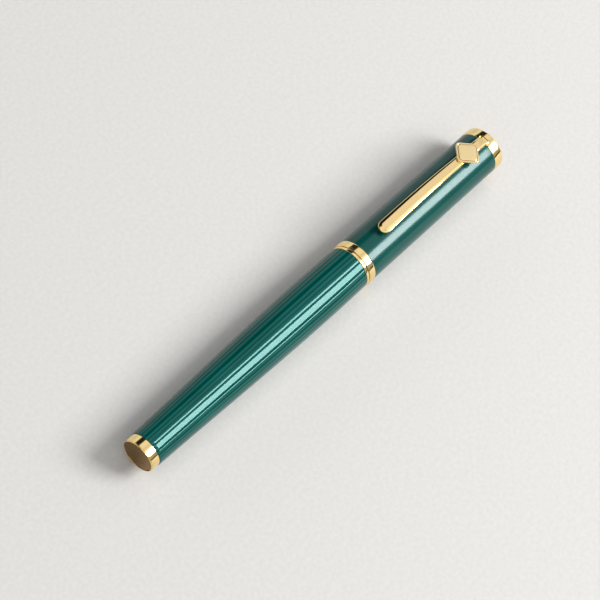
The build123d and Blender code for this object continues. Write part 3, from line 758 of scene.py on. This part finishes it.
def span_row(maker, row):
    """Closes the space between the two sides of a row."""
    count = len(row)
    for index in range(count // 2 - 1):
        corners = (row[index], row[index + 1], row[count - 2 - index], row[count - 1 - index])
        maker.faces.new(corners)
    if count % 2:
        middle = count // 2
        maker.faces.new((row[middle - 1], row[middle], row[middle + 1]))


def clip_arm():
    """The clip with its flat in satin gold, the root's end closed, and the pad under it."""
    maker = bmesh.new()
    lines = ClipLines()
    rows = [clip_row(maker, lines, row) for row in clip_rows()]
    for first, second in zip(rows, rows[1:]):
        for index in range(len(first) - 1):
            maker.faces.new((first[index], first[index + 1], second[index + 1], second[index]))
    span_row(maker, rows[-1])
    faces_before = len(maker.faces)
    span_row(maker, rows[0])
    maker.faces.ensure_lookup_table()
    for face in maker.faces[faces_before:]:
        face.material_index = 1
    maker.faces.new([row[0] for row in rows] + [row[-1] for row in reversed(rows)])
    pad_height = lines.cap_top + PAD_RISE + PAD_RADIUS
    pad = ((lines.tip + PAD_PLACE) * MM, 0, AXIS_HEIGHT + pad_height * MM)
    bmesh.ops.create_uvsphere(maker, u_segments=32, v_segments=16, radius=PAD_RADIUS * MM,
                              matrix=Matrix.Translation(pad))
    blade = finish_piece("clip_blade", maker, "clip", "polished_gold", ["clip_arm"])
    blade.data.materials.append(PAINTS["satin_gold"])


# ---- lozenge -----------------------------------------------------------------------------------
LOZENGE_DISH = 0.12  # how far its sides bow inwards
LOZENGE_CORNER = 0.25  # share of a side taken by each rounded corner
LOZENGE_GROWTH = 1.13  # of the diamond, so that its rounded corners reach the CAD plate's width
LOZENGE_SHIFT = -0.30  # along the pen from the CAD plate's middle
LOZENGE_BORDER = 0.62
CORNER_STEPS = 6
SIDE_STEPS = 8


def lozenge_loop(maker, inset, height, lines):
    """A diamond of points with inward-bowed sides and rounded corners."""
    half_long = (end("clip_lozenge") - start("clip_lozenge")) / 2 - inset
    half_wide = radius("clip_lozenge") - inset
    tips = [Vector(tip) * LOZENGE_GROWTH for tip in
            ((half_long, 0), (0, half_wide), (-half_long, 0), (0, -half_wide))]
    points = []
    for index, tip in enumerate(tips):
        after = tips[(index + 1) % len(tips)]
        first, last = (bowed(tip, other, LOZENGE_CORNER) for other in (tips[index - 1], after))
        for step in range(CORNER_STEPS + 1):
            share = step / CORNER_STEPS
            points.append(first * (1 - share) ** 2 + tip * 2 * share * (1 - share)
                          + last * share**2)
        for step in range(1, SIDE_STEPS):
            share = LOZENGE_CORNER + (1 - 2 * LOZENGE_CORNER) * step / SIDE_STEPS
            points.append(bowed(tip, after, share))
    middle = lines.lozenge + LOZENGE_SHIFT
    level = AXIS_HEIGHT + (lines.seat + height) * MM
    return [maker.verts.new(((middle + point.x) * MM, point.y * MM, level)) for point in points]


def bowed(first, second, share):
    """A point along a side that bows towards the middle."""
    point = first * (1 - share) + second * share
    inwards = -(first + second).normalized()
    return point + inwards * LOZENGE_DISH * 4 * share * (1 - share)


def stacked(name, lines, levels, paint, nodes=()):
    """A closed plate from loops given as (inset, height), from its underside up."""
    maker = bmesh.new()
    loops = [lozenge_loop(maker, inset, height, lines) for inset, height in levels]
    for first, second in zip(loops, loops[1:]):
        join_rings(maker, first, second)
    maker.faces.new(loops[0])
    maker.faces.new(loops[-1])
    return finish_piece(name, maker, "clip", paint, nodes)


def clip_lozenge():
    """A plate with a groove round it, and the bare raised panel inside the groove."""
    lines = ClipLines()
    border = LOZENGE_BORDER
    stacked("lozenge_plate", lines,
            [(0.14, 0.0), (0.02, 0.05), (0.0, 0.12), (0.0, 0.50), (0.02, 0.57), (0.07, 0.61),
             (0.12, 0.62), (border - 0.20, 0.62), (border - 0.15, 0.61), (border - 0.12, 0.58),
             (border - 0.11, 0.40), (border + 0.30, 0.40)],
            "pale_gold", ["clip_lozenge"])
    stacked("lozenge_panel", lines,
            [(border, 0.30), (border, 0.60), (border + 0.03, 0.68), (border + 0.12, 0.74),
             (border + 0.28, 0.76), (border + 1.4, 0.78)],
            "pale_gold", ())


# ---- inner pieces ------------------------------------------------------------------------------
CAD_PAINTS = {
    "grip_section": "black_resin",
    "nib": "nib_gold", "nib_pellet": "steel", "feed": "black_plastic",
    "nib_housing": "black_plastic", "feed_nipple": "black_plastic",
    "section_front_ring": "polished_gold", "section_shoulder_ring": "polished_gold",
    "section_thread_bush": "turned_brass", "section_seal_ring": "rubber",
    "barrel_thread_insert": "turned_brass", "barrel_end_plug": "turned_brass",
    "converter_reservoir": "clear", "converter_mouth_bush": "black_plastic",
    "converter_ferrule": "polished_gold", "rod_guide": "black_plastic",
    "converter_knob": "black_resin", "piston_rod": "black_plastic", "piston_seal": "rubber",
    "cap_clutch_ring": "steel", "cap_inner_sleeve": "black_plastic", "cap_plug": "turned_brass",
    "clip_washer": "steel",
}


def paint_inner_pieces():
    """The CAD nodes that stay as they are get their materials."""
    for name, paint in CAD_PAINTS.items():
        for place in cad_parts[name].material_slots:
            place.material = PAINTS[paint]


add_camera()
add_world()
add_floor()
add_softbox("main_softbox", lean=15.0, wide=14.2, long=12.0, strength=18.5)
bpy.context.scene.view_settings.view_transform = "Standard"
barrel()
barrel_rings()
cap()
cap_rings()
clip_arm()
clip_lozenge()
paint_inner_pieces()
